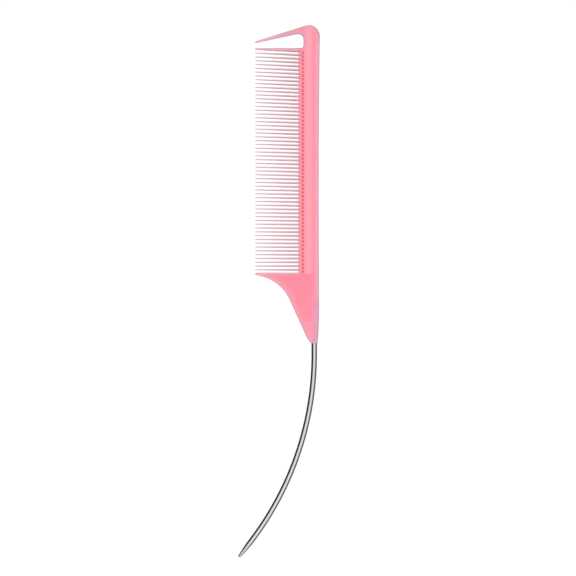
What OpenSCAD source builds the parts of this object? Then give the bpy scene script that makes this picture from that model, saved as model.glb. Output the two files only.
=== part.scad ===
// Rat tail comb: a fine-toothed moulded comb with a curved steel pin for a tail.
// The comb lies on one face. +Y runs along it towards the guard tooth, +X points
// from the teeth to the back of the spine, and +Z comes out of the upper face.
// Distances called "from the pin" are measured across the comb from the pin's axis,
// and heights along the comb are measured from the mouth of the neck.

/* [Spine] */
// Thickness of the comb over its flat faces
body_t = 4; // [3.6:0.1:5]
// From the pin to the back edge beside the guard tooth
back_top = 2.5; // [2.2:0.1:3]
// From the pin to the back edge beside the grip
back_grip = 2.2; // [1.9:0.05:2.4]
// Hollow of the back edge between those two
back_bow = 0.35; // [0.1:0.05:0.6]
// Radius of the outer corner above the spine
corner_r = 5; // [3:0.5:6]
// Radius of the crown that rounds the spine towards its back edge
crown_r = 5.5; // [5:0.5:12]
// From the pin to the edge of the flat face on the back's side
land_back = 0.9; // [0.5:0.1:1.5]
// From the pin to the edge of the flat face on the teeth's side
land_front = 4.4; // [3.6:0.1:4.6]

/* [Teeth] */
// Number of fine teeth
tooth_count = 58; // [20:1:60]
// Distance from one fine tooth to the next
tooth_pitch = 1.7; // [1.4:0.05:2]
// Width of a fine tooth at its root
tooth_root_w = 0.82; // [0.6:0.02:0.9]
// Width of a fine tooth at its tip
tooth_tip_w = 0.4; // [0.3:0.02:0.6]
// Thickness of the teeth at their tips
tooth_tip_t = 1; // [0.6:0.1:1.6]
// From the pin to the tooth tips
tooth_reach = 26.7; // [24:0.1:30]
// Lean of the fine tooth beside the guard end, falling evenly to none at the grip
fan_angle = 2.7; // [0:0.1:3]
// From the pin to the end of the open gaps
slot_end = 7; // [6.4:0.1:8]
// From the pin to the end of the sunk grooves that run on from the gaps
gullet_end = 4.8; // [4.6:0.1:5]

/* [Guard tooth] */
// Width of the thicker end tooth at its root
end_tooth_w = 1.8; // [1.4:0.1:2.4]
// Height of the window between the end tooth and the guard tooth
window_h = 6.4; // [5.5:0.1:7]
// Width of the guard tooth's root, above the window
guard_w = 4; // [3.5:0.1:5]
// Slope of the guard tooth's outer edge
guard_slope = 17.5; // [15:0.5:18]
// Slope of the guard tooth's inner edge
window_slope = 12.3; // [10:0.5:13]
// Radius of the window's corner under the guard tooth
window_r = 2.4; // [1.5:0.1:3]

/* [Grip] */
// Height of the grip's upper edge above the mouth of the neck
grip_top = 31.8; // [30:0.1:36]
// Radius of the finger curve under the grip
wing_r = 19.3; // [18:0.1:21]
// Slope of the neck's side, measured from the comb's length
neck_slope = 24.4; // [22:0.2:26]
// Distance from one grip groove to the next
rib_pitch = 1.07; // [0.9:0.01:1.4]
// Depth of the grip grooves
rib_depth = 0.2; // [0.1:0.05:0.3]

/* [Pin] */
// Diameter of the pin
pin_d = 2.5; // [2:0.1:2.6]
// Length of the pin held in the neck
root_len = 20; // [14:0.5:24]
// Straight length of the pin outside the neck
straight_len = 5; // [2:0.1:15]
// Radius of the pin's bend
bend_r = 139; // [120:1:200]
// Sweep of the pin's bend
bend_sweep = 37.5; // [20:0.5:45]
// Length of the tapered end
taper_len = 8; // [5:0.5:12]
// Diameter of the blunt tip
tip_d = 1.3; // [0.8:0.1:1.6]

/* [Hidden] */
plastic = [0.99, 0.6, 0.66];
steel = [0.62, 0.6, 0.58];
round_fn = 64;
arc_steps = 16;
past = 4;                // how far a cutter runs past the surface that it cuts
mid_z = body_t / 2;      // height of the comb's middle plane and of the pin's axis

gap_root_w = tooth_pitch - tooth_root_w;
gap_tip_w = tooth_pitch - tooth_tip_w;
gap_len = tooth_reach - slot_end;
gap_flare = (gap_tip_w - gap_root_w) / gap_len;
root_half_t = mid_z - 0.2;          // half thickness where the teeth leave the spine
web_half_t = 0.8;                   // half thickness of the web under a gullet
pit_half_t = 0.6;                   // the same at the gullet's deepest place
tip_half_t = tooth_tip_t / 2;
tip_round = 0.25;                   // rounding of the tooth tips, in thickness

floor_y = grip_top + (tooth_count + 1) * tooth_pitch - tooth_root_w + end_tooth_w;
wall_x = -gullet_end;
floor_r = 1.2;
window_cx = wall_x - window_r;
window_cy = floor_y + window_h - window_r;
corner_cx = back_top - corner_r;
corner_cy = floor_y + window_h + guard_w - corner_r;

wing_tip_w = 1.1;                   // width of the wing's blunt tip
wing_cx = -tooth_reach - 1.9;
wing_tip_a = acos(1.9 / wing_r);
wing_cy = grip_top - wing_tip_w - wing_r * sin(wing_tip_a);
neck_join = [wing_cx + wing_r * cos(neck_slope), wing_cy + wing_r * sin(neck_slope)];
nose_y = 4;                         // where the neck starts to round over into its mouth
nose_x = neck_join.x + (neck_join.y - nose_y) * tan(neck_slope);
mouth_x = pin_d / 2 + 0.25;
neck_half_t = pin_d / 2 + 0.4;      // half thickness of the neck at its mouth
neck_back_y = 19.3;                 // where the back edge starts to narrow into the neck

rib_w = 0.5;
rib_border = 1.9;                   // plain border between the grooves and the finger curve
rib_right = -1.05;
rib_low = 10.3;
rib_high = grip_top - 0.9;
rib_join = [wing_cx + (wing_r + rib_border) * cos(neck_slope),
            wing_cy + (wing_r + rib_border) * sin(neck_slope)];

anchor_len = 2.6;                   // flattened end of the pin's root
anchor_w = pin_d * 0.7;
anchor_t = pin_d * 1.2;
bond_gap = 0.01;                    // between the steel and the plastic around it
grind_step = 0.01;                  // how much thinner the ground taper starts than the wire
grind_lap = 0.05;                   // how far it reaches back into the wire
bend_cx = -bend_r;
bend_end = [bend_cx + bend_r * cos(bend_sweep), -straight_len - bend_r * sin(bend_sweep)];
tip_c = [bend_end.x - taper_len * sin(bend_sweep), bend_end.y - taper_len * cos(bend_sweep)];

// The origin is under the middle of the whole comb, on the surface that it lies on.
mid_x = (back_top + tip_c.x - tip_d / 2) / 2;
mid_y = (corner_cy + corner_r + tip_c.y - tip_d / 2) / 2;

function arc(c, r, a0, a1, n = arc_steps) =
    [for (i = [0:n]) let (a = a0 + (a1 - a0) * i / n) [c.x + r * cos(a), c.y + r * sin(a)]];

// Back edge: an even hollow between the grip and the guard corner.
function back_edge(n = arc_steps) =
    [for (i = [0:n]) let (t = i / n)
        [back_grip + (back_top - back_grip) * t - back_bow * 4 * t * (1 - t),
         neck_back_y + (corner_cy - neck_back_y) * t]];

// Finger side of the neck rounding over into its mouth.
function nose(n = 8) =
    let (knee = [nose_x + (nose_y - 1.9) * tan(neck_slope), 1.9], lip = [-mouth_x - 0.1, 0.5])
    [for (i = [1:n]) let (t = i / n, s = 1 - t)
        pow(s, 3) * [nose_x, nose_y] + 3 * s * s * t * knee + 3 * s * t * t * lip
        + pow(t, 3) * [-mouth_x, 0]];

module in_frame() {
    translate([-mid_x, -mid_y, 0]) children();
}

// A flat outline in X and Z, run along Y.
module along_y(y0, y1) {
    translate([0, y1, 0]) rotate([90, 0, 0]) linear_extrude(y1 - y0) children();
}

// Outline of the whole moulding, with its gaps still filled.
module outline() {
    polygon(concat(
        [[mouth_x, 0], [mouth_x + 0.05, 0.8], [mouth_x + 0.25, 2.4],
         [back_grip - 0.12, neck_back_y / 2]],
        back_edge(),
        arc([corner_cx, corner_cy], corner_r, 0, 90 + guard_slope),
        [[-tooth_reach,
          corner_cy + corner_r * sin(90 + guard_slope)
          - (corner_cx + corner_r * cos(90 + guard_slope) + tooth_reach) * tan(guard_slope)]],
        arc([wing_cx, wing_cy], wing_r, wing_tip_a, neck_slope),
        [[nose_x, nose_y]],
        nose()));
}

// Opening between the end tooth and the guard tooth.
module window() {
    far = tooth_reach + past;
    polygon(concat(
        [[-far, floor_y],
         [-far, window_cy + window_r * sin(90 + window_slope)
          - (window_cx + window_r * cos(90 + window_slope) + far) * tan(window_slope)]],
        arc([window_cx, window_cy], window_r, 90 + window_slope, 0),
        arc([wall_x - floor_r, floor_y + floor_r], floor_r, 0, -90)));
}

// Half of the comb's cross-section, from the back edge to the tooth tips: [x, half thickness].
function half_section() = concat(
    [for (i = [arc_steps:-1:0])
        let (run = (back_top + land_back + 0.3) * i / arc_steps)
        [run - land_back, mid_z - crown_r + sqrt(crown_r * crown_r - run * run)]],
    [[-land_front, mid_z],
     [-slot_end + 0.4, root_half_t],
     [-tooth_reach + tip_round, tip_half_t],
     [-tooth_reach, tip_half_t - tip_round]]);

// The cross-section, with both faces drawn in by inset.
module section(inset = 0) {
    half = half_section();
    n = len(half);
    polygon(concat(
        [for (p = half) [p.x, mid_z + p.y - inset]],
        [for (i = [n - 1:-1:0]) [half[i].x, mid_z - half[i].y + inset]]));
}

// Side profile in Y and Z: full thickness, thinning to the mouth of the neck.
module side_profile() {
    polygon([[-past, mid_z - neck_half_t], [0, mid_z - neck_half_t], [8, 0],
             [corner_cy + corner_r + past, 0], [corner_cy + corner_r + past, body_t],
             [8, body_t], [0, mid_z + neck_half_t], [-past, mid_z + neck_half_t]]);
}

module blank() {
    intersection() {
        linear_extrude(body_t) outline();
        along_y(-past, corner_cy + corner_r + past) section();
        translate([-tooth_reach - past, 0, 0])
            rotate([90, 0, 90]) linear_extrude(tooth_reach + back_top + 2 * past) side_profile();
    }
}

// One gap between two fine teeth, wider at the tips, with a round end in the spine.
module gap(lean) {
    far = gap_len + past;
    root = slot_end - gullet_end - gap_root_w / 2;
    half_root = gap_root_w / 2;
    half_far = half_root + gap_flare * far / 2;
    rotate(-lean) union() {
        polygon([[root, -half_root], [root, half_root], [0, half_root],
                 [-far, half_far], [-far, -half_far], [0, -half_root]]);
        translate([root, 0]) circle(half_root, $fn = round_fn);
    }
}

module gaps() {
    for (i = [0:tooth_count])
        translate([-slot_end, grip_top + gap_root_w / 2 + i * tooth_pitch, -past])
            linear_extrude(body_t + 2 * past) gap(fan_angle * i / tooth_count);
}

// How deep the gaps cut: right through outside slot_end, and a sunk gullet on each face inside it.
module gap_depth() {
    far = -tooth_reach - past;
    polygon([[far, -past], [wall_x, -past], [wall_x, mid_z - root_half_t],
             [wall_x - 0.5, mid_z - pit_half_t], [-slot_end + 0.2, mid_z - web_half_t],
             [-slot_end, mid_z],
             [-slot_end + 0.2, mid_z + web_half_t], [wall_x - 0.5, mid_z + pit_half_t],
             [wall_x, mid_z + root_half_t], [wall_x, body_t + past], [far, body_t + past]]);
}

module rib_panel() {
    slope = tan(neck_slope);
    polygon(concat(
        [[rib_right, rib_low], [rib_right, rib_high]],
        arc([wing_cx, wing_cy], wing_r + rib_border,
            asin((rib_high - wing_cy) / (wing_r + rib_border)), neck_slope),
        [[rib_join.x + (rib_join.y - rib_low) * slope, rib_low]]));
}

// Grip grooves on both faces, sunk to an even depth in the tapering section.
module grip_grooves() {
    intersection() {
        translate([0, 0, -past]) linear_extrude(body_t + 2 * past) intersection() {
            rib_panel();
            for (y = [rib_low:rib_pitch:rib_high])
                translate([-tooth_reach, y]) square([tooth_reach, rib_w]);
        }
        difference() {
            translate([-tooth_reach, 0, -1]) cube([tooth_reach, grip_top, body_t + 2]);
            along_y(-1, grip_top + 1) section(rib_depth);
        }
    }
}

// The pin's root with its flattened end, grown by extra for the socket.
module pin_root(extra = 0) {
    r = pin_d / 2 + extra;
    translate([0, -straight_len, mid_z]) rotate([-90, 0, 0])
        cylinder(h = root_len - anchor_len + straight_len, r = r, $fn = round_fn);
    translate([0, root_len - anchor_len, mid_z])
        rotate([-90, 0, 0]) intersection() {
            cylinder(h = anchor_len + extra, r = anchor_t / 2 + extra, $fn = round_fn);
            translate([-anchor_w / 2 - extra, -anchor_t, 0])
                cube([anchor_w + 2 * extra, 2 * anchor_t, anchor_len + extra]);
        }
}

// Half outline of the tapered end, turned about the pin's axis: a cone with a domed tip that
// ends in a small flat. It starts a hair thinner than the wire and a hair inside it.
module tip_section() {
    dome = 75;
    polygon(concat([[0, -grind_lap], [pin_d / 2 - grind_step, -grind_lap]],
                   arc([0, taper_len], tip_d / 2, 0, dome, 5),
                   [[0, taper_len + tip_d / 2 * sin(dome)]]));
}

module comb_body() {
    color(plastic) in_frame() difference() {
        blank();
        translate([0, 0, -past]) linear_extrude(body_t + 2 * past) window();
        intersection() {
            gaps();
            along_y(0, floor_y) gap_depth();
        }
        grip_grooves();
        pin_root(bond_gap);
    }
}

module tail_pin() {
    color(steel) in_frame() {
        pin_root();
        translate([bend_cx, -straight_len, mid_z])
            rotate_extrude(angle = -bend_sweep, $fn = 720)
                translate([bend_r, 0]) circle(d = pin_d, $fn = round_fn);
        translate([bend_end.x, bend_end.y, mid_z]) rotate(-bend_sweep) rotate([90, 0, 0])
            rotate_extrude($fn = round_fn) tip_section();
    }
}

comb_body();
tail_pin();
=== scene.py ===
"""Rat tail comb: the finished look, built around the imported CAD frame."""

import math

import bpy
import numpy as np
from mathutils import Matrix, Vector


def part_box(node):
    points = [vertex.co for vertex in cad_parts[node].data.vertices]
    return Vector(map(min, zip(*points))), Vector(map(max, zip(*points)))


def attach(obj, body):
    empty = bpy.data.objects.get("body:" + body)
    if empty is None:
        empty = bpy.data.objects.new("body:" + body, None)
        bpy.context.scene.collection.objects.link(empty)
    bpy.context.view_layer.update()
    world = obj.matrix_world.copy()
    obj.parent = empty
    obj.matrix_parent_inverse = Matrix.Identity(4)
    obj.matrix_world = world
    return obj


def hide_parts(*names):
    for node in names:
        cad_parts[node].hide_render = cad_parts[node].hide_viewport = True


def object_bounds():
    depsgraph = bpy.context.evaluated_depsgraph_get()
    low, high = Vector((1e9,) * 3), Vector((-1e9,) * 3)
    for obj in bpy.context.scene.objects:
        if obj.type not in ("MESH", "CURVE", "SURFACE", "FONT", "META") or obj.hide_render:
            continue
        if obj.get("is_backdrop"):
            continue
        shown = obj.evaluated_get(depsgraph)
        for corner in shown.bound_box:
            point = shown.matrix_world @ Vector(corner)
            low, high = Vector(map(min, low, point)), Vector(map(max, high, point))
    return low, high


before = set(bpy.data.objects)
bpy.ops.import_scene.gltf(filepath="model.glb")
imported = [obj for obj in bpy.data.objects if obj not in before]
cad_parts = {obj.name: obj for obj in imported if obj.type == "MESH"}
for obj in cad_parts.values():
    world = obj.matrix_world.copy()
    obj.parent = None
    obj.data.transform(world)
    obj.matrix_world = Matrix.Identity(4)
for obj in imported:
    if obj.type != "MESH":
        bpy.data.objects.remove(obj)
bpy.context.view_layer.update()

MM = 0.001

# Every length below is in millimetres, and every place is measured from the pin's axis (x),
# the mouth of the neck (y) and the comb's middle plane (z). to_frame() turns them into the row frame.

BODY_T = 4.0
BACK_TOP, BACK_GRIP, BACK_BOW, BACK_LOW_Y = 2.5, 2.2, 0.35, 19.3
BACK_EASE = 2.6       # exponent of the back edge's narrowing into the neck
CORNER_R = 5.0
LAND_BACK, LAND_FRONT = -0.9, -4.4
CROWN_DROP = 0.24     # how much lower than the land each face is at the back edge

TOOTH_COUNT, TOOTH_PITCH = 58, 1.7
TOOTH_ROOT_W, TOOTH_TIP_W = 0.82, 0.4
TOOTH_TIP_X = -26.7
TOOTH_TIP_HALF_T, TOOTH_ROOT_HALF_T = 0.5, 1.8
TOOTH_ROOT_X = -6.6
FAN = math.radians(2.7)
SLOT_END_X, GULLET_END_X = -6.9, -4.8
WEB_HALF_T, WEB_RISE_L = 0.8, 0.45
PIT_DEPTH, PIT_HALF_L = 0.2, 0.35

END_TOOTH_ROOT_W, END_TOOTH_TIP_W = 1.8, 0.85
WINDOW_H, WINDOW_R, WINDOW_FLOOR_R = 6.4, 2.4, 1.2
WINDOW_SLOPE, GUARD_SLOPE = math.radians(12.3), math.radians(17.5)
GUARD_W, GUARD_TIP_R = 4.0, 0.43
GUARD_ROUND = 0.96    # share of the guard tooth's half width that rounds over

GRIP_TOP = 31.8
WING_R, WING_TIP_W, WING_OUT = 19.3, 1.1, 1.9
NECK_SLOPE = math.radians(24.4)
NOSE_Y, KNEE_Y, MOUTH_X = 2.6, 1.5, 1.45
LIP_L, LIP_W = 0.3, 0.2
NECK_HALF_T, NECK_FULL_Y = 1.65, 8.0
RIB_PITCH, RIB_W, RIB_DEPTH, RIB_BORDER = 1.07, 0.5, 0.2, 1.9
RIB_LOW, RIB_HIGH, RIB_RIGHT = 10.3, 30.9, -1.05
RIB_WALL, RIB_RUN_OUT, RIB_END = 0.1, 0.25, 0.2

PIN_R = 1.25
PIN_ROOT, PIN_ANCHOR = 20.0, 2.6
ANCHOR_HALF_W, ANCHOR_R, ANCHOR_BEVEL = 0.7 * PIN_R, 1.2 * PIN_R, 0.12
SOCKET_GAP, SOCKET_BEVEL = 0.01, 0.06
STRAIGHT, BEND_R, BEND_SWEEP = 5.0, 139.0, math.radians(37.5)
TAPER, TIP_R = 8.0, 0.65
TAPER_EASE = 1.25     # exponent of the taper: 1 is a straight cone
DOME_SHARE = 0.96     # how far the dome goes on towards the very tip, which is a small flat

EDGE_R = 0.9          # how far in from an outer edge the plastic rounds over
CROWN = 2.5           # exponent of that rounding: 2 is a circle, higher is squarer

# Worked out from the sizes above.
GAP_R = (TOOTH_PITCH - TOOTH_ROOT_W) / 2
TOOTH_HALF = TOOTH_ROOT_W / 2
SLOT_CX = SLOT_END_X - GAP_R
PIT_CX = GULLET_END_X - GAP_R
PIT_COLUMN_X = PIT_CX - 0.06
GULLET_OUT = GULLET_END_X + 0.5
FLOOR_Y = GRIP_TOP + (TOOTH_COUNT + 1) * TOOTH_PITCH - TOOTH_ROOT_W + END_TOOTH_ROOT_W
LAST_GAP_Y = FLOOR_Y - END_TOOTH_ROOT_W
WINDOW_CX, WINDOW_CY = GULLET_END_X - WINDOW_R, FLOOR_Y + WINDOW_H - WINDOW_R
WINDOW_TOP_X = WINDOW_CX - WINDOW_R * math.sin(WINDOW_SLOPE)
WINDOW_TOP_Y = WINDOW_CY + WINDOW_R * math.cos(WINDOW_SLOPE)
CORNER_CX, CORNER_CY = BACK_TOP - CORNER_R, FLOOR_Y + WINDOW_H + GUARD_W - CORNER_R
WING_CX = TOOTH_TIP_X - WING_OUT
WING_CY = GRIP_TOP - WING_TIP_W - math.sqrt(WING_R ** 2 - WING_OUT ** 2)
JOIN_X = WING_CX + WING_R * math.cos(NECK_SLOPE)
JOIN_Y = WING_CY + WING_R * math.sin(NECK_SLOPE)
NOSE_X = JOIN_X + (JOIN_Y - NOSE_Y) * math.tan(NECK_SLOPE)

comb_lo, comb_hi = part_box("comb_body")
ORIGIN = Vector((comb_hi.x - BACK_TOP * MM, comb_lo.y, (comb_lo.z + comb_hi.z) / 2))


def to_frame(points):
    """Millimetres from the pin's axis and the neck's mouth, as metres in the row frame."""
    return np.asarray(points, float) * MM + np.array(ORIGIN)


def add_mesh(name, points, faces):
    mesh = bpy.data.meshes.new(name)
    mesh.from_pydata(to_frame(points).tolist(), [], faces)
    mesh.validate()
    mesh.shade_smooth()
    piece = bpy.data.objects.new(name, mesh)
    bpy.context.scene.collection.objects.link(piece)
    return piece


# ---------------------------------------------------------------- outline of the comb

def back_x(y):
    """The back edge: narrowing into the neck, a slight hollow, then the outer corner."""
    y = np.asarray(y, float)
    t = np.clip((y - BACK_LOW_Y) / (CORNER_CY - BACK_LOW_Y), 0, 1)
    spine = BACK_GRIP + (BACK_TOP - BACK_GRIP) * t - BACK_BOW * 4 * t * (1 - t)
    share = np.clip(1 - y / BACK_LOW_Y, 0, 1)
    neck = BACK_GRIP - (BACK_GRIP - MOUTH_X) * share ** BACK_EASE
    corner = CORNER_CX + np.sqrt(np.maximum(CORNER_R ** 2 - (y - CORNER_CY) ** 2, 0))
    return np.where(y < BACK_LOW_Y, neck, np.where(y > CORNER_CY, corner, spine))


def wing_tip():
    """Radius and centre of the rounded end of the wing."""
    r = WING_TIP_W / 2
    for _ in range(3):
        low = WING_CY + math.sqrt(WING_R ** 2 - (TOOTH_TIP_X + r - WING_CX) ** 2)
        r = (GRIP_TOP - low) / 2
    return r, TOOTH_TIP_X + r, GRIP_TOP - r


WING_TIP_R, WING_TIP_CX, WING_TIP_CY = wing_tip()


def nose_curve():
    """The neck's side rounding over into its mouth, as y and x from the mouth upwards."""
    t = np.linspace(1, 0, 25)
    knee_x = NOSE_X + (NOSE_Y - KNEE_Y) * math.tan(NECK_SLOPE)
    nose, knee, lip = (1 - t) ** 3, 3 * (1 - t) ** 2 * t, 3 * (1 - t) * t ** 2
    y = NOSE_Y * nose + KNEE_Y * knee + LIP_L * lip
    x = NOSE_X * nose + knee_x * knee - (MOUTH_X + LIP_W) * lip - MOUTH_X * t ** 3
    return y, x


def left_x(y, out=0.0):
    """The grip's free side: nose, neck line, finger curve and wing tip, drawn in by out."""
    y = np.asarray(y, float)
    nose = np.interp(y, *nose_curve())
    line = JOIN_X + (JOIN_Y - y) * math.tan(NECK_SLOPE) + out / math.cos(NECK_SLOPE)
    curve = WING_CX + np.sqrt(np.maximum((WING_R + out) ** 2 - (y - WING_CY) ** 2, 0))
    tip = WING_TIP_CX - np.sqrt(np.maximum(WING_TIP_R ** 2 - (y - WING_TIP_CY) ** 2, 0))
    join = JOIN_Y + out * math.sin(NECK_SLOPE)
    shape = np.where(y < join, line, curve)
    if out:
        return shape
    return np.where(y < NOSE_Y, nose, np.where(y > WING_TIP_CY - WING_TIP_R, tip, shape))


def guard_top_y(x):
    """The guard tooth's outer edge and the top of the outer corner."""
    x = np.asarray(x, float)
    meet = CORNER_CX - CORNER_R * math.sin(GUARD_SLOPE)
    line = CORNER_CY + CORNER_R * math.cos(GUARD_SLOPE) - (meet - x) * math.tan(GUARD_SLOPE)
    arc = CORNER_CY + np.sqrt(np.maximum(CORNER_R ** 2 - (x - CORNER_CX) ** 2, 0))
    return np.where(x < meet, line, arc)


def guard_low_y(x):
    """The guard tooth's inner edge."""
    return WINDOW_TOP_Y - (WINDOW_TOP_X - np.asarray(x, float)) * math.tan(WINDOW_SLOPE)


def arc(cx, cy, r, start, end, steps):
    a = np.radians(np.linspace(start, end, steps + 1))
    return np.column_stack([cx + r * np.cos(a), cy + r * np.sin(a)])


def window_wall():
    """The window's closed end, from its floor to where the guard tooth's inner edge starts."""
    low = arc(GULLET_END_X - WINDOW_FLOOR_R, FLOOR_Y + WINDOW_FLOOR_R, WINDOW_FLOOR_R, -90, 0, 6)
    high = arc(WINDOW_CX, WINDOW_CY, WINDOW_R, 0, 90 + math.degrees(WINDOW_SLOPE), 8)
    between = np.linspace(low[-1], high[0], 5)[1:-1]
    return np.vstack([low, between, high])


def edges():
    """The comb's outer edges as short straight segments: starts and ends."""
    grip_y = np.concatenate([nose_curve()[0], np.linspace(NOSE_Y, GRIP_TOP, 160)[1:]])
    grip = np.column_stack([left_x(grip_y), grip_y])
    back_y = np.concatenate([[0, 0.25, 0.7], np.linspace(2, CORNER_CY, 60)])
    back = np.column_stack([back_x(back_y), back_y])
    corner = arc(CORNER_CX, CORNER_CY, CORNER_R, 0, 90 + math.degrees(GUARD_SLOPE), 24)
    tip_x = TOOTH_TIP_X + GUARD_TIP_R
    tip_y = (guard_top_y(tip_x) + guard_low_y(tip_x)) / 2
    guard_tip = arc(tip_x, tip_y, GUARD_TIP_R, 90, 270, 10)
    floor = [[GULLET_END_X - WINDOW_FLOOR_R - 6, FLOOR_Y]]
    spine = np.vstack([back, corner, guard_tip, window_wall()[::-1], floor])
    starts = np.vstack([grip[:-1], spine[:-1]])
    ends = np.vstack([grip[1:], spine[1:]])
    return starts, ends


EDGE_STARTS, EDGE_ENDS = edges()


def edge_distance(x, y):
    """Distance from each point to the nearest outer edge."""
    points = np.column_stack([x, y])[:, None, :]
    run = EDGE_ENDS - EDGE_STARTS
    along = ((points - EDGE_STARTS) * run).sum(2) / np.maximum((run ** 2).sum(1), 1e-12)
    nearest = EDGE_STARTS + np.clip(along, 0, 1)[..., None] * run
    return np.sqrt(((points - nearest) ** 2).sum(2)).min(1)


# ---------------------------------------------------------------- thickness of the comb

def rise(q, n=CROWN):
    """From 0 on the parting line to 1 on the face, rounding over on the way."""
    q = np.clip(q, 0, 1)
    return (1 - (1 - q) ** n) ** (1 / n)


def half_thickness(x, y):
    """Half thickness between the faces: a flat land, a crown to the back and a wedge to the tips."""
    full = BODY_T / 2
    across = np.interp(x, [TOOTH_TIP_X, TOOTH_ROOT_X, LAND_FRONT, LAND_BACK, BACK_TOP],
                       [TOOTH_TIP_HALF_T, TOOTH_ROOT_HALF_T, full, full, full - CROWN_DROP])
    along = np.interp(y, [0, LIP_L, NECK_FULL_Y], [NECK_HALF_T - LIP_W, NECK_HALF_T, full])
    return np.minimum(across, along)


def gullet_floor(x, off):
    """Half thickness of the web under a gullet, at a distance off its centre line."""
    from_slot = np.hypot(x - SLOT_CX, off) - GAP_R
    pit = PIT_DEPTH * np.exp(-((x - PIT_CX) / PIT_HALF_L) ** 2)
    web = WEB_HALF_T * rise(from_slot / WEB_RISE_L) - pit
    return np.where((x > SLOT_CX + 1e-9) & (x < GULLET_OUT) & (from_slot > 1e-9), web, 0)


def blend_up(ridge, floor, fillet=0.25):
    """The higher of two surfaces, with a small fillet where they meet."""
    overlap = np.maximum(fillet - abs(ridge - floor), 0)
    return np.where(floor > 0, np.maximum(ridge, floor) + overlap ** 2 / (4 * fillet), ridge)


def slot_distance(x, off):
    """Distance from the open slot between two teeth."""
    return np.hypot(np.maximum(x - SLOT_CX, 0), off) - GAP_R


def groove_share(x, off, radius):
    """How far up the side of a gullet or gap a point is: 0 at its edge and 1 on top."""
    return (np.hypot(np.maximum(x - PIT_CX, 0), off) - GAP_R) / radius


# ---------------------------------------------------------------- columns, from tips to back

TIP_STEPS = [0, 0.02, 0.06, 0.13, 0.23, 0.36, 0.55, 0.9, 1.5, 2.4]
BODY_STEPS = np.linspace(0, 1, 10)[1:]
WEB_STEPS = np.array([0.05, 0.12, 0.22, 0.38, 0.6, 0.8, 1.0])
PIT_STEPS = np.linspace(0, 1, 8)[1:]
LAND_STEPS = np.linspace(0, 1, 6)[1:]
BACK_STEPS = 1 - np.array([0.72, 0.5, 0.36, 0.25, 0.16, 0.09, 0.04, 0.012, 0])
COL_B = len(TIP_STEPS)
COL_K = COL_B + len(BODY_STEPS)
COLS = COL_K + len(WEB_STEPS) + len(PIT_STEPS) + len(LAND_STEPS) + len(BACK_STEPS) + 1
WING_IN = 3.5         # length of the stretch behind a tip that gets the closest columns


def columns(start, inner, slot, pit, out, land, back):
    """x of each column, through the seven places that all rows have in common."""
    tip = start + np.array(TIP_STEPS) / WING_IN * (inner - start)
    return np.concatenate([
        tip,
        [inner],
        inner + BODY_STEPS * (slot - inner),
        slot + WEB_STEPS * (pit - slot),
        pit + PIT_STEPS * (out - pit),
        out + LAND_STEPS * (land - out),
        land + BACK_STEPS * (back - land)])


def tooth_columns(start, back, slot=SLOT_CX):
    return columns(start, start + WING_IN, slot, PIT_COLUMN_X, GULLET_OUT, LAND_BACK, back)


# ---------------------------------------------------------------- rows, from the neck to the guard

class Sheet:
    """One face of the comb as rows and columns, which add() fills from the neck upwards."""

    def __init__(self):
        self.x, self.y, self.h, self.rim, self.first = [], [], [], [], []

    def add(self, x, y, h, rim, first=0, seam=0):
        """A row from column first on; its ends and its first seam columns lie on the parting line.
        rim is how far each point is from the nearest edge that light can see round."""
        h = np.maximum(h, 0.01)
        h[:max(seam, first + 1)] = h[-1] = 0
        self.x.append(np.asarray(x, float))
        self.y.append(np.broadcast_to(y, np.shape(x)).astype(float))
        self.h.append(h)
        self.rim.append(rim)
        self.first.append(first)


def rib_cut(x, y, edge):
    """Depth of the grip grooves at each point."""
    phase = (y - RIB_LOW) % RIB_PITCH
    groove = np.interp(phase, [0, RIB_WALL, RIB_W - RIB_WALL, RIB_W], [0, 1, 1, 0])
    inside = np.clip((edge - RIB_BORDER) / RIB_RUN_OUT, 0, 1) * np.clip((RIB_RIGHT - x) / RIB_END, 0, 1)
    return RIB_DEPTH * groove * inside * ((y > RIB_LOW) & (y < RIB_HIGH))


def grip_rows_y():
    mouth = [0, 0.04, 0.12, 0.25, 0.45, 0.7, 1.0, 1.4, 1.9, 2.3]
    neck = np.linspace(NOSE_Y, RIB_LOW, 12, endpoint=False)
    offsets = np.array([0, RIB_WALL, RIB_W / 2, RIB_W - RIB_WALL, RIB_W, (RIB_W + RIB_PITCH) / 2])
    count = int((RIB_HIGH - RIB_LOW) / RIB_PITCH) + 1
    ribs = (RIB_LOW + RIB_PITCH * np.arange(count)[:, None] + offsets).ravel()
    tip_low = WING_TIP_CY - WING_TIP_R
    tip = WING_TIP_CY - WING_TIP_R * np.cos(np.radians(np.linspace(0, 180, 15)))
    return np.concatenate([mouth, neck, ribs[ribs < tip_low - 0.03], tip])


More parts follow.
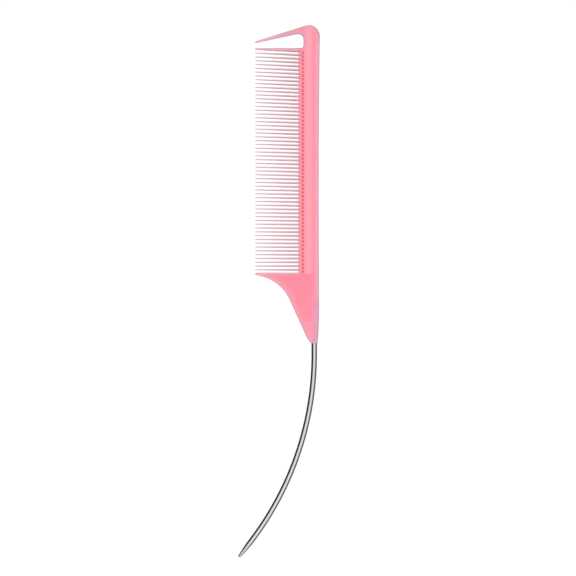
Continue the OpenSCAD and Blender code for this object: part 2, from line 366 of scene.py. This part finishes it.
def add_grip(sheet):
    full_b = left_x(GRIP_TOP, RIB_BORDER)
    shares = [(x - full_b) / (LAND_BACK - full_b) for x in (SLOT_CX, PIT_COLUMN_X, GULLET_OUT)]
    for y in grip_rows_y():
        left, back = float(left_x(y)), float(back_x(y))
        land = max(LAND_BACK, back - 0.4 * (back - left))
        inner = min(float(left_x(y, RIB_BORDER)), left + 0.45 * (land - left))
        if y > RIB_HIGH:
            top = (y - RIB_HIGH) / (GRIP_TOP - RIB_HIGH)
            inner += (left + WING_IN - inner) * top
        slot, pit, out = (inner + s * (land - inner) for s in shares)
        if y > RIB_HIGH:
            slot += (SLOT_CX - slot) * top
            pit += (PIT_COLUMN_X - pit) * top
            out += (GULLET_OUT - out) * top
        x = columns(left, inner, slot, pit, out, land, back)
        edge = edge_distance(x, np.full(x.shape, y))
        top_side = groove_share(x, GAP_R + GRIP_TOP - y, TOOTH_HALF)
        wing_half = np.interp(x, [TOOTH_TIP_X, TOOTH_TIP_X + 4], [WING_TIP_R, EDGE_R])
        radius = np.minimum(np.minimum(wing_half, EDGE_R), 0.45 * (back - left))
        q = np.minimum(edge / radius, top_side)
        ridge = (half_thickness(x, y) - rib_cut(x, y, edge)) * rise(q)
        h = blend_up(ridge, gullet_floor(x, GAP_R + GRIP_TOP - y))
        rim = np.minimum(edge, slot_distance(x, GAP_R + GRIP_TOP - y))
        sheet.add(x, y, h, rim, seam=COL_K + 1 if y > GRIP_TOP - 1e-6 else 0)


TOOTH_LINES = [-1, -0.9, -0.7, -0.4, 0, 0.4, 0.7, 0.9, 1]
GAP_LINES = [-0.6, -0.2, 0.2, 0.6]
END_LINES = [-1, -0.94, -0.82, -0.62, -0.35, 0, 0.35, 0.62, 0.82, 0.94, 1]


def tooth_lean(i):
    return FAN * (i + 0.5) / (TOOTH_COUNT + 1)


def tooth_y(i, x):
    """Centre line of fine tooth i, leaning towards the guard end at its tip."""
    root = GRIP_TOP + TOOTH_PITCH * (i + 1) - TOOTH_HALF
    return root + (SLOT_END_X - np.minimum(x, GULLET_END_X)) * math.tan(tooth_lean(i))


def tooth_half(x):
    return np.interp(x, [TOOTH_TIP_X, SLOT_CX], [TOOTH_TIP_W / 2, TOOTH_HALF])


def end_tooth_y(x):
    """Centre line of the end tooth, whose outer edge is square to the spine."""
    return FLOOR_Y - end_tooth_half(x)


def end_tooth_half(x):
    return np.interp(x, [TOOTH_TIP_X, SLOT_CX], [END_TOOTH_TIP_W / 2, END_TOOTH_ROOT_W / 2])


def tip_share(x, u, half, tip_r):
    """Share of the way in from a tooth's edge to its middle, rounding its tip as well."""
    side = 1 - abs(u) + np.zeros(x.shape)
    cx = TOOTH_TIP_X + tip_r
    return np.where(x < cx, 1 - np.hypot(x - cx, u * half) / tip_r, side)


def add_tooth(sheet, i):
    tip_r = TOOTH_TIP_W / 2
    for u in TOOTH_LINES:
        start = TOOTH_TIP_X + tip_r * (1 - math.sqrt(1 - u * u))
        x = tooth_columns(start, float(back_x(tooth_y(i, 0))))
        half = tooth_half(x)
        y = tooth_y(i, x) + u * half
        off = GAP_R + (1 - abs(u)) * TOOTH_HALF
        q = groove_share(x, off, TOOTH_HALF)
        q[:COL_K] = tip_share(x, u, half, tip_r)[:COL_K]
        q = np.minimum(q, (x[-1] - x) / EDGE_R)
        h = blend_up(half_thickness(x, y) * rise(q), gullet_floor(x, off))
        rim = np.where(x < SLOT_CX, (1 - abs(u)) * half, slot_distance(x, off))
        sheet.add(x, y, h, np.minimum(rim, x[-1] - x), seam=COL_K + 1 if abs(u) == 1 else 0)


def add_gap(sheet, i):
    """The sunk gullet of gap i, between the tooth or wing below it and the tooth above it."""
    for v in GAP_LINES:
        start = SLOT_END_X - GAP_R * (1 - math.sqrt(1 - v * v))
        mid = GRIP_TOP + TOOTH_PITCH * i + GAP_R
        x = tooth_columns(TOOTH_TIP_X, float(back_x(mid)), start)
        below = tooth_y(i - 1, x) + TOOTH_HALF if i else np.full(x.shape, GRIP_TOP)
        above = tooth_y(i, x) - TOOTH_HALF
        if i == TOOTH_COUNT:
            above = end_tooth_y(x) - end_tooth_half(x)
        y = below + (above - below) * (v + 1) / 2
        off = abs(v) * GAP_R
        q = np.minimum(groove_share(x, off, TOOTH_HALF), (x[-1] - x) / EDGE_R)
        h = blend_up(half_thickness(x, y) * rise(q), gullet_floor(x, off))
        sheet.add(x, y, h, np.minimum(slot_distance(x, off), x[-1] - x), COL_K)


def add_end_tooth(sheet):
    tip_r = END_TOOTH_TIP_W / 2
    corner_x = GULLET_END_X - WINDOW_FLOOR_R
    for u in END_LINES:
        start = TOOTH_TIP_X + tip_r * (1 - math.sqrt(1 - u * u))
        slot = SLOT_CX + (corner_x - SLOT_CX) * (u + 1) / 2
        x = tooth_columns(start, float(back_x(FLOOR_Y)), slot)
        half = end_tooth_half(x)
        y = end_tooth_y(x) + u * half
        off = GAP_R + (1 + u) * END_TOOTH_ROOT_W / 2
        radius = np.interp(x, [SLOT_CX, PIT_CX], [END_TOOTH_ROOT_W / 2, TOOTH_HALF])
        q = np.minimum(groove_share(x, off, radius), edge_distance(x, y) / EDGE_R)
        q[:COL_K + 1] = tip_share(x, u, half, tip_r)[:COL_K + 1]
        h = blend_up(half_thickness(x, y) * rise(q), gullet_floor(x, off))
        rim = np.where(x < SLOT_CX, (1 - abs(u)) * half, slot_distance(x, off))
        rim = np.where(x < corner_x, rim, np.minimum(rim, edge_distance(x, y)))
        sheet.add(x, y, h, rim, seam=COL_K + 1 if abs(u) == 1 else 0)


GUARD_BACK_LOW, GUARD_BACK_HIGH = 21.0, 50.0   # corner angles where the guard tooth's rows end


def corner_point(degrees):
    a = math.radians(degrees)
    return np.array([CORNER_CX + CORNER_R * math.cos(a), CORNER_CY + CORNER_R * math.sin(a)])


def add_window(sheet):
    """The rows between the end tooth and the guard tooth, which start at the window's wall."""
    wall = window_wall()
    top = corner_point(GUARD_BACK_LOW)[1]
    for k in range(1, len(wall) - 1):
        wall_x, wall_y = wall[k]
        end_y = FLOOR_Y + (top - FLOOR_Y) * k / (len(wall) - 1)
        end_x = float(back_x(end_y))
        pit = wall_x + (GULLET_OUT - wall_x) * 0.5
        x = columns(TOOTH_TIP_X, TOOTH_TIP_X + WING_IN, wall_x, pit, GULLET_OUT, LAND_BACK, end_x)
        y = wall_y + (end_y - wall_y) * (x - wall_x) / (end_x - wall_x)
        rim = edge_distance(x, y)
        sheet.add(x, y, half_thickness(x, y) * rise(rim / EDGE_R), rim, COL_K)


def add_guard(sheet):
    """The guard tooth and the outer corner, ruled between their lower and upper edges."""
    low_end, high_end = corner_point(GUARD_BACK_LOW), corner_point(GUARD_BACK_HIGH)
    slot = WINDOW_TOP_X
    for u in END_LINES:
        share = (u + 1) / 2
        start = TOOTH_TIP_X + GUARD_TIP_R * (1 - math.sqrt(1 - u * u))
        x_low = tooth_columns(start, low_end[0], slot)
        x_high = columns(start, start + WING_IN, slot, PIT_CX - 0.3, GULLET_OUT - 0.2,
                         LAND_BACK - 1, high_end[0])
        t = np.clip((x_low - slot) / (low_end[0] - slot), 0, 1)
        inner = WINDOW_TOP_Y + (low_end[1] - WINDOW_TOP_Y) * t * (2 - t)
        y_low = np.where(x_low < slot, guard_low_y(x_low), inner)
        y_high = guard_top_y(x_high)
        x = x_low + (x_high - x_low) * share
        y = y_low + (y_high - y_low) * share
        angle = GUARD_BACK_LOW + (GUARD_BACK_HIGH - GUARD_BACK_LOW) * share
        bulge = corner_point(angle) - np.array([x[-1], y[-1]])
        pull = np.clip((x - GULLET_OUT) / (x[-1] - GULLET_OUT), 0, 1) ** 2
        x, y = x + bulge[0] * pull, y + bulge[1] * pull
        half = (guard_top_y(x) - guard_low_y(x)) / 2 * GUARD_ROUND
        rim = edge_distance(x, y)
        h = half_thickness(x, y) * rise(rim / np.minimum(EDGE_R, half))
        sheet.add(x, y, h, rim, seam={-1: COL_K + 1, 1: COLS}.get(u, 0))


def comb_sheet():
    sheet = Sheet()
    add_grip(sheet)
    for i in range(TOOTH_COUNT):
        add_gap(sheet, i)
        add_tooth(sheet, i)
    add_gap(sheet, TOOTH_COUNT)
    add_end_tooth(sheet)
    add_window(sheet)
    add_guard(sheet)
    return sheet


def quads(index, solid):
    """Faces between neighbouring rows and columns, wherever all four corners exist."""
    whole = solid[:-1, :-1] & solid[:-1, 1:] & solid[1:, :-1] & solid[1:, 1:]
    corners = [index[:-1, :-1], index[:-1, 1:], index[1:, 1:], index[1:, :-1]]
    return np.stack([c[whole] for c in corners], 1)


def anchor_radius(angle, grow):
    """Outline of the pin's flattened root end: a disc with two flats."""
    return min(ANCHOR_R + grow, (ANCHOR_HALF_W + grow) / max(abs(math.cos(angle)), 1e-6))


SOCKET_RIM = 2.0      # stands for the distance from a rim all over the inside of the socket


def make_comb():
    sheet = comb_sheet()
    x, y, h = np.array(sheet.x), np.array(sheet.y), np.array(sheet.h)
    solid = np.arange(COLS) >= np.array(sheet.first)[:, None]
    top = np.full(x.shape, -1)
    top[solid] = np.arange(solid.sum())
    inner = solid & (h > 0)
    low = top.copy()
    low[inner] = solid.sum() + np.arange(inner.sum())
    points = np.vstack([np.column_stack([x[solid], y[solid], h[solid]]),
                        np.column_stack([x[inner], y[inner], -h[inner]])])
    faces = quads(top, solid).tolist() + quads(low, solid)[:, ::-1].tolist()

    # The mouth of the neck and the socket that holds the pin's root.
    last = list(low[0]) + list(top[0, -2:0:-1])
    angles = [math.atan2(points[v][2], points[v][0]) for v in last]
    socket_r = PIN_R + SOCKET_GAP
    rings = [(socket_r + SOCKET_BEVEL, 0), (socket_r, SOCKET_BEVEL), (socket_r, PIN_ROOT - PIN_ANCHOR),
             (None, PIN_ROOT - PIN_ANCHOR), (None, PIN_ROOT + SOCKET_GAP)]
    points = points.tolist()
    for radius, depth in rings:
        ring = []
        for a in angles:
            r = radius or anchor_radius(a, SOCKET_GAP)
            ring.append(len(points))
            points.append([r * math.cos(a), depth, r * math.sin(a)])
        n = len(ring)
        faces += [[last[j], last[(j + 1) % n], ring[(j + 1) % n], ring[j]] for j in range(n)]
        last = ring
    faces.append(last)

    comb = add_mesh("comb_moulding", points, faces)
    rim = np.array(sheet.rim)
    socket = np.full(len(points) - solid.sum() - inner.sum(), SOCKET_RIM)
    values = np.concatenate([rim[solid], rim[inner], socket])
    comb.data.attributes.new("rim", "FLOAT", "POINT").data.foreach_set("value", values)
    return comb


# ---------------------------------------------------------------- the pin

def pin_path():
    """Stations along the pin as (x, y, heading, radius), from its root to its tip."""
    stations = []
    for y in np.linspace(PIN_ROOT - PIN_ANCHOR, -STRAIGHT, 24):
        stations.append((0, y, 0, PIN_R))
    for a in np.linspace(0, BEND_SWEEP, 73)[1:]:
        stations.append((-BEND_R + BEND_R * math.cos(a), -STRAIGHT - BEND_R * math.sin(a), a, PIN_R))
    end_x, end_y, heading, _ = stations[-1]
    dome_start = math.asin((PIN_R - TIP_R) / TAPER)
    along = [(t * TAPER, PIN_R + (TIP_R - PIN_R) * t ** TAPER_EASE) for t in np.linspace(0, 1, 13)[1:]]
    dome = [(TAPER + TIP_R * math.sin(a), TIP_R * math.cos(a))
            for a in np.linspace(dome_start, math.pi / 2 * DOME_SHARE, 9)[1:]]
    for step, radius in along + dome:
        stations.append((end_x - step * math.sin(heading), end_y - step * math.cos(heading),
                         heading, radius))
    return stations


def make_pin():
    sides = 32
    turns = [2 * math.pi * k / sides for k in range(sides)]
    points, faces, rings = [], [], []

    def ring(x, y, heading, radius_at):
        rings.append(range(len(points), len(points) + sides))
        for a in turns:
            out = radius_at(a) * math.cos(a)
            points.append([x + out * math.cos(heading), y - out * math.sin(heading),
                           radius_at(a) * math.sin(a)])

    ring(0, PIN_ROOT, 0, lambda a: anchor_radius(a, -ANCHOR_BEVEL))
    ring(0, PIN_ROOT - ANCHOR_BEVEL, 0, lambda a: anchor_radius(a, 0))
    ring(0, PIN_ROOT - PIN_ANCHOR, 0, lambda a: anchor_radius(a, 0))
    for x, y, heading, radius in pin_path():
        ring(x, y, heading, lambda a, r=radius: r)
    for one, two in zip(rings, rings[1:]):
        faces += [[one[k], one[(k + 1) % sides], two[(k + 1) % sides], two[k]] for k in range(sides)]
    faces.append(list(rings[0])[::-1])
    faces.append(list(rings[-1]))
    return add_mesh("pin_tail", points, faces)


# ---------------------------------------------------------------- materials

class Nodes:
    """A material's node tree, with the few kinds of node that the materials here are made of."""

    def __init__(self, name):
        self.material = bpy.data.materials.new(name)
        self.material.use_nodes = True
        self.tree = self.material.node_tree
        self.shader = self.tree.nodes["Principled BSDF"]

    def add(self, kind, **settings):
        node = self.tree.nodes.new("ShaderNode" + kind)
        for key, value in settings.items():
            setattr(node, key, value)
        return node

    def feed(self, socket, value):
        if isinstance(value, bpy.types.NodeSocket):
            self.tree.links.new(value, socket)
        else:
            socket.default_value = value

    def math(self, operation, *values):
        node = self.add("Math", operation=operation)
        for socket, value in zip(node.inputs, values):
            self.feed(socket, value)
        return node.outputs[0]

    def times(self, first, *others):
        for other in others:
            first = self.math("MULTIPLY", first, other)
        return first

    def at_least(self, least, value):
        """Squeezes 0 to 1 into least to 1."""
        return self.math("MULTIPLY_ADD", value, 1 - least, least)

    def step(self, value, zone):
        """0 before the zone's start and 1 after its end, eased between them; a zone may run down."""
        start, end = zone
        node = self.add("MapRange", interpolation_type="SMOOTHSTEP")
        for socket, number in zip(node.inputs, (value, start, end)):
            self.feed(socket, number)
        if end < start:
            self.feed(node.inputs[1], end)
            self.feed(node.inputs[2], start)
            return self.math("SUBTRACT", 1.0, node.outputs[0])
        return node.outputs[0]

    def mix(self, share, one, two):
        node = self.add("Mix", data_type="RGBA")
        self.feed(node.inputs[0], share)
        self.feed(node.inputs[6], one)
        self.feed(node.inputs[7], two)
        return node.outputs[2]

    def place(self):
        """The point on the object in the drawing's own millimetres, as x, y and z."""
        own = self.add("TexCoord").outputs["Object"]
        move = self.add("VectorMath", operation="SUBTRACT")
        self.feed(move.inputs[0], own)
        self.feed(move.inputs[1], tuple(ORIGIN))
        scale = self.add("VectorMath", operation="SCALE")
        self.feed(scale.inputs[0], move.outputs[0])
        self.feed(scale.inputs["Scale"], 1 / MM)
        split = self.add("SeparateXYZ")
        self.feed(split.inputs[0], scale.outputs[0])
        return scale.outputs[0], split.outputs[0], split.outputs[1], split.outputs[2]

    def noise(self, vector, scale, detail=2.0):
        node = self.add("TexNoise")
        self.feed(node.inputs["Vector"], vector)
        self.feed(node.inputs["Scale"], scale)
        self.feed(node.inputs["Detail"], detail)
        return node.outputs[0]

    def bump(self, height, distance):
        node = self.add("Bump")
        self.feed(node.inputs["Height"], height)
        self.feed(node.inputs["Distance"], distance)
        self.feed(self.shader.inputs["Normal"], node.outputs[0])


# The land's pink is paler by a painted sheen; the crown and grip pinks have none.
LAND_SHEEN_PINK = (0.78, 0.218, 0.266, 1)
CROWN_PINK = (0.74, 0.178, 0.230, 1)
GRIP_PINK = (0.72, 0.171, 0.230, 1)
NECK_PINK = (0.72, 0.190, 0.250, 1)
# Painted light on the rims: a pale grey painted highlight at the very edge, which greys the thin teeth as
# painted shade, and a dusky painted shade just inside it.
EDGE_HIGHLIGHT_AND_SHADE_PINK = (0.48, 0.292, 0.346, 1)
RIM_SHADE_PINK = (0.45, 0.195, 0.235, 1)
GUARD_PINK = (0.62, 0.180, 0.235, 1)
# Painted light along the back edge: painted shade round the corner, and paler painted highlight and shade
# along the back.
CORNER_SHADE_PINK = (0.43, 0.220, 0.260, 1)
BACK_HIGHLIGHT_AND_SHADE_PINK = (0.47, 0.275, 0.332, 1)
ROOT_MAUVE = (0.465, 0.192, 0.270, 1)
ROOT_PALE = (0.475, 0.218, 0.302, 1)
# Painted light round the gaps: a paler painted glow on the thin web, painted shade in the gullets and
# darker painted shade in the pits.
WEB_GLOW_PINK = (0.69, 0.340, 0.390, 1)
GULLET_SHADE_PINK = (0.70, 0.210, 0.265, 1)
PIT_SHADE_PINK = (0.56, 0.140, 0.180, 1)
STEEL_DARK = (0.60, 0.57, 0.55, 1)
STEEL_PALE = (0.68, 0.655, 0.635, 1)


# Where each colour comes in, as (none of it, all of it). X and Y zones are places, Z is a distance
# from the middle plane, RIM one from the nearest edge that light sees round, and OFF one from the
# middle of a gap.
LAND_FRONT_X, LAND_BACK_X = (-4.9, -3.3), (-0.3, -2.2)
GRIP_Y = (GRIP_TOP - 0.2, GRIP_TOP - 1.0)
PANEL_RIM, PANEL_X = (0.6, 2.8), (-4.5, -2.5)
PANEL_Y, PANEL_FULL_Y, PANEL_LOW_SHARE = (7.0, 11.0), (13.0, 25.0), 0.65
GUARD_Y, GUARD_X = (FLOOR_Y - 3, FLOOR_Y - 1), (-3.5, -7.0)
TEETH_LOW_Y, TEETH_HIGH_Y = (GRIP_TOP, GRIP_TOP + 0.1), (FLOOR_Y, FLOOR_Y - 1)
GAPS_Y = (LAST_GAP_Y + 0.2, LAST_GAP_Y - 0.1)
GULLET_FRONT_X, GULLET_BACK_X = (-7.2, -6.2), (GULLET_END_X + 0.3, GULLET_END_X - 0.1)
WEB_FRONT_X, WEB_BACK_X = (-8.5, -7.2), (-5.5, -6.6)
WEB_OFF, WEB_SHARE = (0.8, 0.35), 0.9
PIT_FRONT_X, PIT_BACK_X = (PIT_CX - 0.4, PIT_CX + 0.05), (GULLET_END_X + 0.2, GULLET_END_X)
PIT_OFF = (0.5, 0.15)
SIDE_Z, SIDE_SHARE, SIDE_TEETH_X = (0.2, 1.2), 0.55, (-7.0, -9.0)
FRONT_X, FRONT_RIM, FRONT_HALO_RIM = (-5.8, -7.8), (0.75, 0.1), (2.0, 1.0)
BACK_X, BACK_RIM, BACK_HALO_RIM = (-3.0, -1.0), (1.2, 0.3), (2.2, 0.4)
HALO_SHARE = 0.6
EDGE_RIM, CORNER_Y = (1.0, 0.6), (CORNER_CY - 3, CORNER_CY + 1)
ROOT_X, ROOT_Y = (-2.1, 0.6), (PIN_ROOT + 1.6, PIN_ROOT - 0.4)
ROOT_WIDE_Y, ROOT_WIDE_BY = (13.0, 8.0), 0.3
ROOT_PALE_X, ROOT_SHARE = (0.2, 1.3), 0.9


def face_colour(n, x, y, rim):
    """The faces' colour, with a painted sheen that makes the polished land paler than the crown and the
    ribbed grip, and the grip's share.
    """
    land = n.times(n.step(x, LAND_FRONT_X), n.step(x, LAND_BACK_X))
    colour = n.mix(land, CROWN_PINK, LAND_SHEEN_PINK)
    low = n.step(y, GRIP_Y)
    colour = n.mix(low, colour, NECK_PINK)
    inside = n.math("MAXIMUM", n.step(rim, PANEL_RIM), n.step(x, PANEL_X))
    above = n.times(n.step(y, PANEL_Y), n.at_least(PANEL_LOW_SHARE, n.step(y, PANEL_FULL_Y)))
    panel = n.times(inside, above, low)
    colour = n.mix(panel, colour, GRIP_PINK)
    guard = n.times(n.step(y, GUARD_Y), n.step(x, GUARD_X))
    return n.mix(guard, colour, GUARD_PINK), panel


def gap_colour(n, colour, x, y, toothed):
    """Painted light round the gaps: a painted glow on the thin web, most of all at the end of each slot,
    where light comes through it, painted shade in the sunk gullets and darker painted shade in the pits.
    """
    gapped = n.times(toothed, n.step(y, GAPS_Y))
    off = n.math("PINGPONG", n.math("SUBTRACT", y, GRIP_TOP + GAP_R), TOOTH_PITCH / 2)
    gullet = n.times(n.step(x, GULLET_FRONT_X), n.step(x, GULLET_BACK_X), gapped)
    colour = n.mix(gullet, colour, GULLET_SHADE_PINK)
    web = n.times(n.step(x, WEB_FRONT_X), n.step(x, WEB_BACK_X), n.step(off, WEB_OFF), gapped, WEB_SHARE)
    colour = n.mix(web, colour, WEB_GLOW_PINK)
    pit = n.times(n.step(x, PIT_FRONT_X), n.step(x, PIT_BACK_X), n.step(off, PIT_OFF), gapped)
    return n.mix(pit, colour, PIT_SHADE_PINK)


def rim_colour(n, colour, x, y, z, rim, toothed):
    """Rims get a pale grey painted highlight at the very edge, which on the thin teeth is painted shade
    greying them, then a dusky painted shade, and paler painted highlight and shade all through along the
    back, with painted shade round the corner.
    They fade by half on the thick upright sides, but not on the thin teeth."""
    def near(edge, halo):
        return n.math("MAXIMUM", n.step(rim, edge), n.times(n.step(rim, halo), HALO_SHARE))

    side = n.at_least(SIDE_SHARE, n.step(n.math("ABSOLUTE", z), SIDE_Z))
    side = n.math("MAXIMUM", side, n.step(x, SIDE_TEETH_X))
    front = n.math("MAXIMUM", n.step(x, FRONT_X), n.math("SUBTRACT", 1.0, toothed))
    front = n.times(front, near(FRONT_RIM, FRONT_HALO_RIM), side)
    colour = n.mix(front, colour, n.mix(n.step(rim, EDGE_RIM), RIM_SHADE_PINK, EDGE_HIGHLIGHT_AND_SHADE_PINK))
    back = n.times(near(BACK_RIM, BACK_HALO_RIM), side, n.step(x, BACK_X))
    return n.mix(back, colour, n.mix(n.step(y, CORNER_Y), BACK_HIGHLIGHT_AND_SHADE_PINK, CORNER_SHADE_PINK))


def root_colour(n, colour, x, y):
    """The pin's root shows through the neck as a mauve band, a little wider near the mouth."""
    across = n.math("MULTIPLY_ADD", n.step(y, ROOT_WIDE_Y), ROOT_WIDE_BY, x)
    band = n.times(n.step(across, ROOT_X), n.step(y, ROOT_Y), ROOT_SHARE)
    return n.mix(band, colour, n.mix(n.step(x, ROOT_PALE_X), ROOT_MAUVE, ROOT_PALE))


def plastic_material():
    """Satin pink plastic, slightly translucent."""
    n = Nodes("pink_moulded_plastic")
    point, x, y, z = n.place()
    rim = n.add("Attribute", attribute_name="rim").outputs["Fac"]
    toothed = n.times(n.step(y, TEETH_LOW_Y), n.step(y, TEETH_HIGH_Y))
    colour, panel = face_colour(n, x, y, rim)
    colour = gap_colour(n, colour, x, y, toothed)
    colour = rim_colour(n, colour, x, y, z, rim, toothed)
    colour = root_colour(n, colour, x, y)

    mottle = n.noise(point, 0.35, 3.0)
    lift = n.add("HueSaturation")
    n.feed(lift.inputs["Value"], n.math("MULTIPLY_ADD", mottle, 0.06, 0.97))
    n.feed(lift.inputs["Color"], colour)
    n.feed(n.shader.inputs["Base Color"], lift.outputs[0])

    n.feed(n.shader.inputs["Roughness"], n.math("MULTIPLY_ADD", panel, 0.12, 0.34))
    n.shader.inputs["Subsurface Weight"].default_value = 0.3
    n.shader.inputs["Subsurface Radius"].default_value = (1.0, 0.35, 0.35)
    n.shader.inputs["Subsurface Scale"].default_value = 0.001
    n.bump(n.noise(point, 2.2, 3.0), 0.00002)
    return n.material


def steel_material():
    """Drawn and polished steel wire, with a faint grain along it."""
    n = Nodes("polished_steel_wire")
    point = n.place()[0]
    stretch = n.add("Mapping")
    n.feed(stretch.inputs["Vector"], point)
    n.feed(stretch.inputs["Scale"], (3.0, 0.25, 3.0))
    grain = n.noise(stretch.outputs[0], 2.0, 4.0)
    n.feed(n.shader.inputs["Base Color"], n.mix(grain, STEEL_DARK, STEEL_PALE))
    n.shader.inputs["Metallic"].default_value = 1
    n.feed(n.shader.inputs["Roughness"], n.math("MULTIPLY_ADD", grain, 0.08, 0.1))
    return n.material


comb = make_comb()
comb.data.materials.append(plastic_material())
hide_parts("comb_body")
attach(comb, "root")

pin = make_pin()
pin.data.materials.append(steel_material())
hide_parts("tail_pin")
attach(pin, "root")


# ---------------------------------------------------------------- studio

# The studio is in metres, and the floor's drop keeps it just clear of the comb.
FLOOR_R, SWEEP_R, WALL_TOP, FLOOR_DROP = 2.2, 0.5, 2.2, 0.0001
SWEEP_DEGREES = [15, 30, 45, 60, 75, 90]
STUDIO_SIDES = 64


def make_studio():
    """A pale floor that sweeps up into a round wall, all one plain sheet."""
    profile = [(0.5, 0.0), (FLOOR_R, 0.0)]
    profile += [(FLOOR_R + SWEEP_R * math.sin(a), SWEEP_R - SWEEP_R * math.cos(a))
                for a in np.radians(SWEEP_DEGREES)]
    profile.append((FLOOR_R + SWEEP_R, WALL_TOP))
    turns = [2 * math.pi * k / STUDIO_SIDES for k in range(STUDIO_SIDES)]
    following = [(k + 1) % STUDIO_SIDES for k in range(STUDIO_SIDES)]
    points = [(0, 0, -FLOOR_DROP)]
    for r, z in profile:
        points += [(r * math.cos(a), r * math.sin(a), z - FLOOR_DROP) for a in turns]
    faces = [[0, 1 + k, 1 + after] for k, after in enumerate(following)]
    for j in range(len(profile) - 1):
        one, two = 1 + j * STUDIO_SIDES, 1 + (j + 1) * STUDIO_SIDES
        faces += [[one + k, two + k, two + after, one + after] for k, after in enumerate(following)]
    mesh = bpy.data.meshes.new("studio_floor")
    mesh.from_pydata(points, [], faces)
    mesh.shade_smooth()
    floor = bpy.data.objects.new("studio_floor", mesh)
    bpy.context.scene.collection.objects.link(floor)
    white = Nodes("studio_white")
    white.shader.inputs["Base Color"].default_value = (0.09, 0.09, 0.09, 1)
    white.shader.inputs["Roughness"].default_value = 0.9
    white.shader.inputs["Emission Color"].default_value = (1, 1, 1, 1)
    white.shader.inputs["Emission Strength"].default_value = 0.92
    floor.data.materials.append(white.material)
    floor.visible_glossy = False
    floor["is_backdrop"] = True


# How bright the studio round the comb is, by the angle from straight up: negative is the teeth's side.
# The ramp's own two stops come first, and the others are in order between them.
STUDIO_LEVELS = ((-180, 0.03), (180, 0.1), (-62, 0.03), (-48, 0.2), (-28, 0.95), (-8, 1.2), (26, 1.25),
                 (40, 0.75), (58, 0.42), (78, 0.2), (100, 0.1))
LAMP_SIZE, LAMP_WATTS, LAMP_HEIGHT = 0.7, 16.5, 1.5


def make_lights():
    """A soft light overhead, between a dark drape on the left and a grey card on the right."""
    scene = bpy.context.scene
    world = bpy.data.worlds.new("studio")
    scene.world = world
    world.use_nodes = True
    nodes, links = world.node_tree.nodes, world.node_tree.links
    place = nodes.new("ShaderNodeTexCoord")
    split = nodes.new("ShaderNodeSeparateXYZ")
    turn = nodes.new("ShaderNodeMath")
    turn.operation = "ARCTAN2"
    share = nodes.new("ShaderNodeMath")
    share.operation = "MULTIPLY_ADD"
    share.inputs[1].default_value = 1 / (2 * math.pi)
    share.inputs[2].default_value = 0.5
    ramp = nodes.new("ShaderNodeValToRGB")
    links.new(place.outputs["Generated"], split.inputs[0])
    links.new(split.outputs["X"], turn.inputs[0])
    links.new(split.outputs["Z"], turn.inputs[1])
    links.new(turn.outputs[0], share.inputs[0])
    links.new(share.outputs[0], ramp.inputs[0])
    links.new(ramp.outputs["Color"], nodes["Background"].inputs["Color"])
    stops = ramp.color_ramp.elements
    for number, (degrees, level) in enumerate(STUDIO_LEVELS):
        stop = stops[number] if number < 2 else stops.new(degrees / 360 + 0.5)
        stop.color = (level, level, level, 1)
    key = bpy.data.lights.new("overhead", "AREA")
    key.shape = "SQUARE"
    key.size = LAMP_SIZE
    key.energy = LAMP_WATTS
    lamp = bpy.data.objects.new("overhead", key)
    lamp.location = (0, 0, LAMP_HEIGHT)
    lamp.visible_glossy = False
    lamp.visible_camera = False
    scene.collection.objects.link(lamp)


# The picture's width, and how far its middle is from the middle of the comb, in millimetres.
VIEW_WIDTH, VIEW_RIGHT, VIEW_UP = 259.8, 4.04, 1.47


def make_camera():
    """Straight above the comb, with its length up the picture, as in a flat-lay product shot."""
    lo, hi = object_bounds()
    centre = (lo + hi) / 2
    data = bpy.data.cameras.new("camera")
    data.sensor_width = 36
    data.lens = 160
    camera = bpy.data.objects.new("camera", data)
    distance = VIEW_WIDTH * MM * data.lens / data.sensor_width
    camera.location = (centre.x + VIEW_RIGHT * MM, centre.y + VIEW_UP * MM, BODY_T / 2 * MM + distance)
    camera.rotation_euler = (0, 0, 0)
    bpy.context.scene.collection.objects.link(camera)
    bpy.context.scene.camera = camera


make_studio()
make_lights()
make_camera()
bpy.context.scene.view_settings.view_transform = "Standard"
